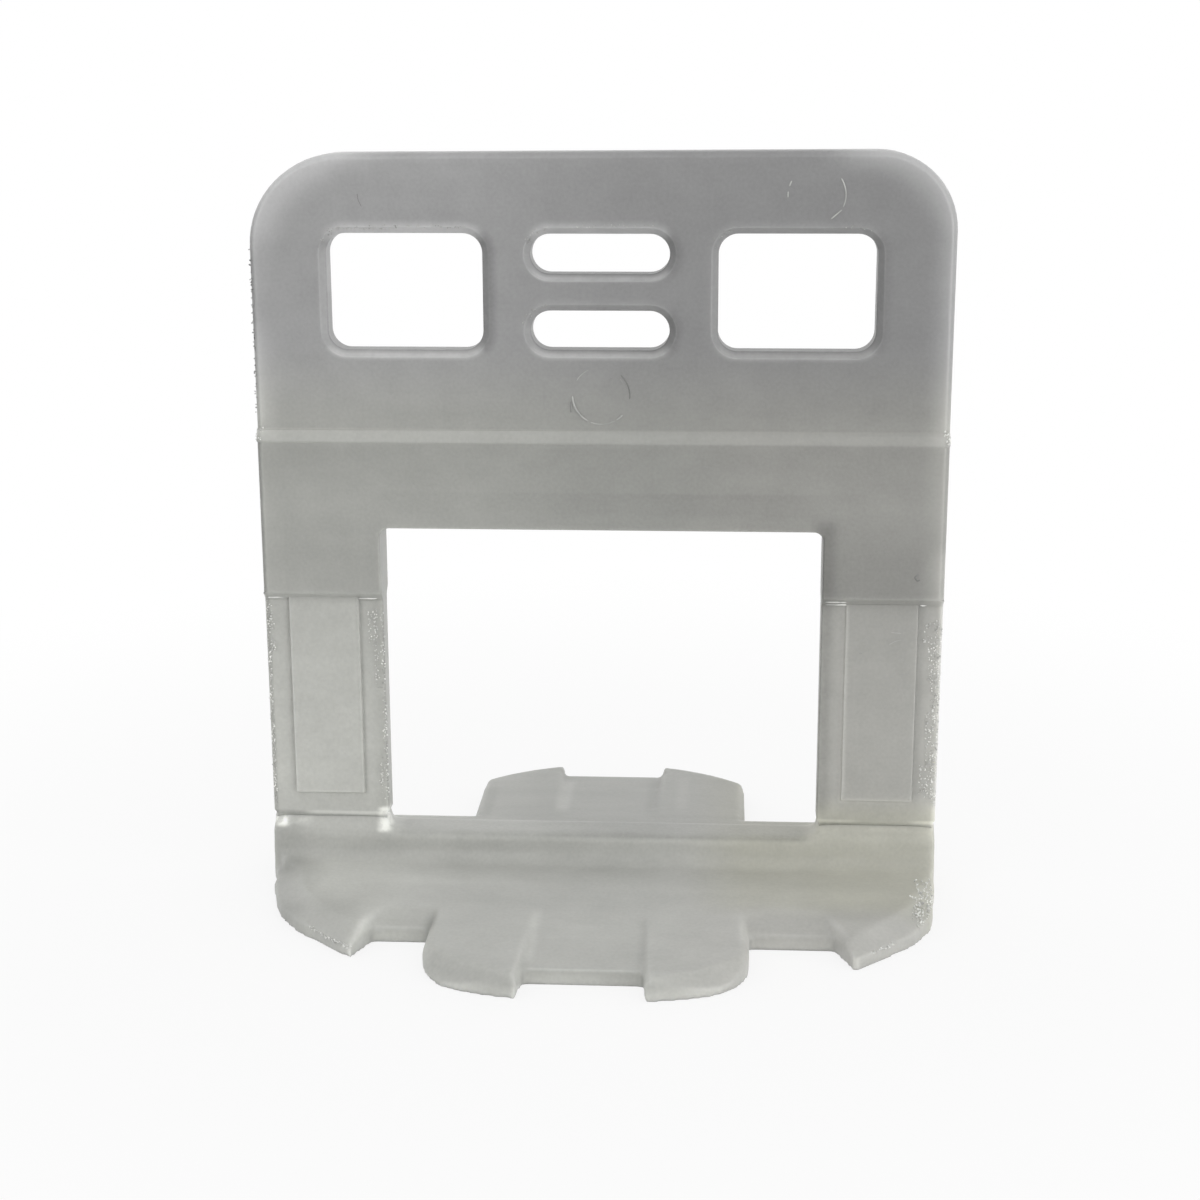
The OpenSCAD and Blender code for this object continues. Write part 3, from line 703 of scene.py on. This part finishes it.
def coat(w, colour, relief, roughness, more):
    """Ends a material with a skin of this colour, relief in mm, roughness and whatever more is given"""
    bump = w.add("ShaderNodeBump", {"Distance": MM, "Height": relief}).outputs[0]
    skin = w.add("ShaderNodeBsdfPrincipled", {
        "Base Color": colour, "Normal": bump, "Roughness": roughness, "IOR": 1.49, **more})
    w.add("ShaderNodeOutputMaterial", {"Surface": skin.outputs[0]})


def milky_plastic(look):
    """Undyed polypropylene: milky, with flow streaks and a fine grain, and with painted light and shade: darker where
    it is thick, lighter where it is thin and on the left, and lighter and darker round its edges, openings, pads, rib
    and foot
    """
    mat, w = new_material("milky_plastic")
    p = Places(w)
    facing = Facing(w)
    group = outline_group()
    # painted light: the lighter left tones blend into the darker right ones
    tab = w.mix(p.side, tone_by_height(w, p.z, LEFT_LIT_TONES), tone_by_height(w, p.z, RIGHT_SHADED_TONES))
    tone = w.mix(p.foot, tab, foot_tone_and_light(w, p, facing))
    # painted light and shade round the openings, scaled by the rim setting
    change = Shade(w, w.math("MULTIPLY_ADD", rims(w, p, group), look.rim, 1.0))
    shade_tab(w, p, change, group, facing)
    shade_rib(w, p, change, facing)
    clouds = noise(w, p, 0.22, seed=(3, 1, 7))
    mottle = noise(w, p, 0.75, stretch=(0.8, 1, 1), detail=3, seed=(11, 5, 2))
    streaks = noise(w, p, 1.1, stretch=(0.07, 0.4, 1.0), detail=2, seed=(5, 9, 4))
    grain = noise(w, p, 4.5, detail=3, seed=(2, 8, 6))
    flow = w.ease(p.z, 5.0, 3.6, 0.025, 0.085)
    for field, size in ((clouds, 0.06), (mottle, 0.08), (streaks, flow), (grain, look.grain)):
        change.lift(size, field)
    plain = w.add("ShaderNodeSeparateColor", {0: tone}).outputs[0]
    colour = plastic_colour(w, p, w.math("MULTIPLY", plain, change.total), look.warmth)
    # relief, in mm
    relief = w.math("MULTIPLY", grain, 0.004)
    relief = w.math("MULTIPLY_ADD", mottle, 0.012, relief)
    relief = w.math("MULTIPLY_ADD", streaks, w.ease(p.z, 5.0, 3.6, 0.004, 0.02), relief)
    dye = w.add("ShaderNodeMix", {0: 1.0, 6: colour, 7: (*look.tint, 1)}, data_type="RGBA", blend_type="MULTIPLY")
    coat(w, dye.outputs[2], relief, w.math("MULTIPLY_ADD", mottle, 0.06, look.roughness), {
        "Subsurface Weight": 1.0, "Subsurface Radius": (1, 1, 1), "Subsurface Scale": look.depth})
    return mat


def worn_and_lit_plastic(name, dark, light, waves):
    """Patches from dark to light, without the milky depth of the rest: torn or scraped plastic, and the painted
    highlights and shade of the rings and the dashes
    """
    mat, w = new_material(name)
    field = noise(w, Places(w), waves, detail=3, seed=(1, 6, 3))
    tone = w.ease(field, -0.35, 0.35, dark, light)
    colour = w.add("ShaderNodeCombineColor", {i: w.math("MULTIPLY", tone, s) for i, s in enumerate(TORN_SHARES)})
    coat(w, colour.outputs[0], w.math("MULTIPLY", field, 0.01), w.ease(field, -0.4, 0.4, 0.55, 0.4), {})
    return mat


class Recipe(Wiring):
    """A Geometry Nodes tree in mm with named inputs, which turns lines into shapes"""

    def __init__(self, name, sizes):
        super().__init__(bpy.data.node_groups.new(name, "GeometryNodeTree"))
        self.sizes = sizes
        face = self.tree.interface
        face.new_socket("Geometry", in_out="INPUT", socket_type="NodeSocketGeometry")
        self.keys = {label: face.new_socket(label, in_out="INPUT", socket_type=kind).identifier
                     for label, (kind, _) in sizes.items()}
        face.new_socket("Geometry", in_out="OUTPUT", socket_type="NodeSocketGeometry")
        self.given = self.add("NodeGroupInput").outputs
        self.lines = self.add("GeometryNodeMeshToCurve", {"Mesh": self.given["Geometry"]}).outputs[0]

    def result(self, shape):
        """Ends the tree with Realize Instances and Set Material"""
        real = self.add("GeometryNodeRealizeInstances", {"Geometry": shape}).outputs[0]
        paint = self.add("GeometryNodeSetMaterial", {"Geometry": real, "Material": self.given["Material"]})
        self.add("NodeGroupOutput", {"Geometry": paint.outputs[0]})

    def cook(self, context, name, lines):
        """Runs the recipe on lines of points in mm and returns its shape as a plain object in metres"""
        mesh = bpy.data.meshes.new(name + "_lines")
        points = [point for line in lines for point in line]
        edges, start = [], 0
        for line in lines:
            edges += [(start + i, start + i + 1) for i in range(len(line) - 1)]
            start += len(line)
        mesh.from_pydata(points, edges, [])
        blank = add_object(context, name + "_lines", mesh)
        grow = blank.modifiers.new("Recipe", "NODES")
        grow.node_group = self.tree
        for label, (_, value) in self.sizes.items():
            grow[self.keys[label]] = value
        shape = plain_mesh(context, blank)
        if not shape.polygons:
            raise RuntimeError(f"{name}: the recipe made no faces")
        smooth_metres(shape)
        return add_object(context, name, shape)


def raised_line(material, half_width):
    """A thin raised line along each path, with tapered ends"""
    step, sides, tip = 0.12, 6, 0.25
    r = Recipe("raised_line", {
        "Half width": ("NodeSocketFloat", half_width), "Material": ("NodeSocketMaterial", material)})
    fine = r.add("GeometryNodeResampleCurve", {"Curve": r.lines, "Length": step}, mode="LENGTH")
    profile = r.add("GeometryNodeCurvePrimitiveCircle", {"Resolution": sides, "Radius": r.given["Half width"]})
    share = r.add("GeometryNodeSplineParameter").outputs["Factor"]
    ends = r.math("MULTIPLY", r.ease(share, 0.0, 0.12), r.ease(share, 1.0, 0.88))
    sweep = r.add("GeometryNodeCurveToMesh", {
        "Curve": fine.outputs[0], "Profile Curve": profile.outputs[0],
        "Scale": r.math("MULTIPLY_ADD", ends, 1 - tip, tip), "Fill Caps": True})
    r.result(sweep.outputs[0])
    return r


def torn_edge(material, bead, gap, seed):
    """Small beads scattered along each path"""
    r = Recipe("torn_edge", {"Bead": ("NodeSocketFloat", bead), "Gap": ("NodeSocketFloat", gap),
                             "Seed": ("NodeSocketInt", seed), "Material": ("NodeSocketMaterial", material)})
    spots = r.add("GeometryNodeCurveToPoints", {"Curve": r.lines, "Length": r.given["Gap"]}, mode="LENGTH")

    def chance(low, high, step):
        fed = {"Min": low, "Max": high, "Seed": r.math("ADD", r.given["Seed"], step)}
        return r.add("FunctionNodeRandomValue", fed, data_type="FLOAT_VECTOR").outputs[0]

    keep = r.add("FunctionNodeRandomValue", {"Probability": 0.72, "Seed": r.given["Seed"]}, data_type="BOOLEAN")
    stray = r.add("GeometryNodeSetPosition", {
        "Geometry": spots.outputs["Points"], "Offset": chance((-0.13, -0.02, -0.07), (0.13, 0.05, 0.07), 1)})
    ball = r.add("GeometryNodeMeshIcoSphere", {"Subdivisions": 1, "Radius": r.given["Bead"]})
    lay = r.add("GeometryNodeInstanceOnPoints", {
        "Points": stray.outputs[0], "Selection": keep.outputs[3], "Instance": ball.outputs["Mesh"],
        "Rotation": chance((0, 0, 0), (6.28, 6.28, 6.28), 2), "Scale": chance((0.4, 0.4, 0.3), (1.0, 0.9, 0.8), 3)})
    r.result(lay.outputs[0])
    return r


def arc(x, z, radius, start, end, y):
    """Points every few degrees along part of a circle on an upright face, counted in degrees from the right"""
    steps = max(3, round(abs(end - start) / 8))
    turns = (math.radians(start + (end - start) * i / steps) for i in range(steps + 1))
    return [(x + radius * math.cos(t), y, z + radius * math.sin(t)) for t in turns]


def upright(lines, y):
    """Lines on an upright face, from x and z of both ends"""
    return [[(x, y, z), (to_x, y, to_z)] for x, z, to_x, to_z in lines]


def on_skin(name, lines):
    """Lays lines of points in mm on the nearest faces of a finished piece"""
    piece = bpy.data.objects[name]
    parts = 6
    laid = []
    for line in lines:
        fine = [Vector(a).lerp(Vector(b), i / parts) for a, b in zip(line, line[1:]) for i in range(parts)]
        laid.append([piece.closest_point_on_mesh(point * MM)[1] / MM for point in [*fine, Vector(line[-1])]])
    return laid


class CLIP_OT_rings(Operator):
    """Draw the ejector pins' rings with painted highlights and shade on their flanks, the scratches and the painted
    highlight dashes at the legs' tops, after the tab is made
    """

    bl_idname = "clip.rings"
    bl_label = "Draw the ejector rings"

    def execute(self, context):
        if "clip_tab" not in bpy.data.objects:
            raise RuntimeError("the tab is made first")
        marks = context.scene.clip_marks
        line = marks.line / MM
        pad = PAD_FACE + context.scene.clip_edges.sink / MM
        # painted highlights on the rings' lit flanks, drawn with the light scratches; painted shade on the other
        # flanks, drawn with the dark strokes
        light = self.paths(marks, RING_HIGHLIGHT_ARCS, (*LIGHT_STROKES, *((pad, SLIGHT, *stroke) for stroke in PAD_STROKES)))
        dark = self.paths(marks, RING_SHADE_ARCS, DARK_STROKES)
        # painted highlight dashes at the legs' tops
        dashes = [[(x, y + line * DASH_DEPTH, z) for x, y, z in path] for path in on_skin("clip_tab", DASHES)]
        for name, lines, material in (
                ("ejector_rings", light, worn_and_lit_plastic("scuffs_and_ring_highlights", 0.33, 0.50, 0.6)),
                ("dull_marks", dark, worn_and_lit_plastic("ring_shade_and_dark_plastic", 0.19, 0.26, 0.8)),
                ("stress_dashes", dashes, worn_and_lit_plastic("highlight_plastic", 0.46, 0.95, 0.9))):
            obj = raised_line(material, line).cook(context, name, lines)
            finish_piece(obj, material)
        return {"FINISHED"}

    def paths(self, marks, arcs, strokes):
        """Paths in mm of parts of rings and of strokes"""
        ring, line = marks.ring / MM, marks.line / MM
        paths = [arc(*pin, ring - less, start, end, HEAD_FACE + line * depth) for pin, less, start, end, depth in arcs]
        return paths + [[(x, face + line * depth, z) for x, z in points] for face, depth, *points in strokes]


class CLIP_OT_torn(Operator):
    """Scatter beads of torn plastic on the legs, rims and foot corners, after the tab and the foot are made"""

    bl_idname = "clip.torn"
    bl_label = "Add the torn edges"

    def execute(self, context):
        if "clip_tab" not in bpy.data.objects or "clip_foot" not in bpy.data.objects:
            raise RuntimeError("the tab and the foot are made first")
        marks = context.scene.clip_marks
        legs = upright(TORN_LEGS, LEG_FACE - 0.1)
        step = [[(x, -1.3, 29.3), (x, -1.15, 30.1)] for x in TORN_STEP]
        foot = [[(x, y, z) for x, y in points] for z, *points in TORN_FOOT]
        edges = upright(ROUGH_RIMS, HEAD_FACE)
        corners = [arc(cx - hw + r, cz + hh - r, r + out, 100, 165, HEAD_FACE)
                   for cx, cz, hw, hh, r in OPENINGS for out in ROUGH_ROWS]
        side = on_skin("clip_tab", upright(ROUGH_SIDE, -0.9))
        torn = on_skin("clip_tab", legs + step) + on_skin("clip_foot", foot)
        rough = on_skin("clip_tab", edges + corners)
        for name, lines, material, bead, gap in (
                ("torn_edges", torn, worn_and_lit_plastic("torn_plastic", 0.42, 0.92, 2.4), 1.0, 1.0),
                ("rough_rims", rough, worn_and_lit_plastic("rough_plastic", 0.28, 0.52, 1.6), 0.8, 2.0),
                ("rough_side", side, worn_and_lit_plastic("rough_side_plastic", 0.12, 0.34, 1.6), 0.9, 1.2)):
            recipe = torn_edge(material, marks.bead / MM * bead, marks.gap / MM * gap, marks.seed)
            finish_piece(recipe.cook(context, name, lines), material)
        return {"FINISHED"}


class CLIP_OT_studio(Operator):
    """Lay the white floor, set the soft light and place the camera"""

    bl_idname = "clip.studio"
    bl_label = "Set up the studio"

    def execute(self, context):
        studio = context.scene.clip_studio
        self.floor(context)
        self.room(context, studio)
        self.lamp(context, studio)
        self.camera(context, studio)
        context.scene.view_settings.view_transform = "Standard"
        return {"FINISHED"}

    def floor(self, context):
        """A floor that looks white far out and takes the clip's shadow close by"""
        mesh = bpy.data.meshes.new("floor")
        r = FLOOR_REACH
        mesh.from_pydata([(-r, -r, 0), (r, -r, 0), (r, r, 0), (-r, r, 0)], [], [(0, 1, 2, 3)])
        mat, w = new_material("white_floor")
        paint = w.add("ShaderNodeBsdfDiffuse", {"Color": (0.8, 0.8, 0.8, 1)}).outputs[0]
        white = w.add("ShaderNodeEmission", {"Strength": 1.0}).outputs[0]
        place = w.add("ShaderNodeTexCoord").outputs["Object"]
        reach = w.add("ShaderNodeVectorMath", {0: place}, operation="LENGTH").outputs["Value"]
        share = w.math("MULTIPLY", w.ease(reach, *DISC, 0.82, 1.0), seen_directly(w))
        mix = w.add("ShaderNodeMixShader", {0: share, 1: paint, 2: white})
        w.add("ShaderNodeOutputMaterial", {"Surface": mix.outputs[0]})
        mesh.materials.append(mat)
        floor = add_object(context, "floor", mesh)

    def room(self, context, studio):
        """Soft white light from all round, and a plain white backdrop"""
        world = bpy.data.worlds.new("soft_room")
        context.scene.world = world
        world.use_nodes = True
        w = Wiring(world.node_tree)
        way = w.add("ShaderNodeSeparateXYZ", {0: w.add("ShaderNodeTexCoord").outputs["Generated"]})
        glow = w.ease(way.outputs["Z"], 0.0, 0.8, studio.horizon, studio.overhead)
        strength = w.mix(seen_directly(w), glow, 1.0, "FLOAT")
        light = w.add("ShaderNodeBackground", {"Color": (1, 1, 1, 1), "Strength": strength})
        w.add("ShaderNodeOutputWorld", {"Surface": light.outputs[0]})

    def lamp(self, context, studio):
        light = bpy.data.lights.new("side_lamp", "AREA")
        light.energy = studio.lamp
        light.size = LAMP_SIZE
        lamp = add_object(context, "side_lamp", light)
        lamp.visible_camera = False
        at, to = Vector(LAMP_AT), Vector(LAMP_TO)
        lamp.matrix_world = Matrix.Translation(at) @ (to - at).to_track_quat("-Z", "Y").to_matrix().to_4x4()

    def camera(self, context, studio):
        camera = bpy.data.cameras.new("camera")
        camera.sensor_width = 36
        camera.lens = studio.lens
        camera.clip_start = 0.005
        camera.clip_end = 100
        yaw, pitch, roll = math.radians(YAW), math.radians(PITCH), math.radians(ROLL)
        ahead = Vector((-math.sin(yaw) * math.cos(pitch), math.cos(yaw) * math.cos(pitch), -math.sin(pitch)))
        level = Vector((math.cos(yaw), math.sin(yaw), 0))
        below = ahead.cross(level)
        right = math.cos(roll) * level + math.sin(roll) * below
        down = -math.sin(roll) * level + math.cos(roll) * below
        place = Matrix((right, -down, -ahead)).transposed().to_4x4()
        place.translation = Vector(CAMERA_AT) * MM
        obj = add_object(context, "camera", camera)
        obj.matrix_world = place
        context.scene.camera = obj


def seen_directly(w):
    """1 for what the camera, a gloss or a clear part sees, and 0 for light that falls on things"""
    rays = w.add("ShaderNodeLightPath")
    total = w.math("ADD", rays.outputs["Is Camera Ray"], rays.outputs["Is Glossy Ray"])
    return w.math("ADD", total, rays.outputs["Is Transmission Ray"], clamp=True)


class CLIP_PT_making(Panel):
    """Lists the steps that make the clip, and their sizes"""

    bl_label = "Tile leveling clip"
    bl_idname = "CLIP_PT_making"
    bl_space_type = "VIEW_3D"
    bl_region_type = "UI"
    bl_category = "Clip"

    def draw(self, context):
        for name in GROUPS:
            group = getattr(context.scene, name)
            box = self.layout.box()
            for key in group.bl_rna.properties.keys():
                if key not in ("rna_type", "name"):
                    box.prop(group, key)
        for step in STEPS:
            self.layout.operator(step.bl_idname)


GROUPS = {"clip_edges": ClipEdges, "clip_plastic": ClipPlastic, "clip_marks": ClipMarks, "clip_studio": ClipStudio}
STEPS = (CLIP_OT_tab, CLIP_OT_foot, CLIP_OT_rings, CLIP_OT_torn, CLIP_OT_studio)
CLASSES = (*GROUPS.values(), *STEPS, CLIP_PT_making)


def register():
    for cls in CLASSES:
        bpy.utils.register_class(cls)
    for name, group in GROUPS.items():
        setattr(bpy.types.Scene, name, PointerProperty(type=group))


def unregister():
    for name in GROUPS:
        delattr(bpy.types.Scene, name)
    for cls in reversed(CLASSES):
        bpy.utils.unregister_class(cls)


def main():
    register()
    bpy.ops.clip.tab()
    bpy.ops.clip.foot()
    bpy.ops.clip.rings()
    bpy.ops.clip.torn()
    bpy.ops.clip.studio()


if __name__ == "__main__":
    main()
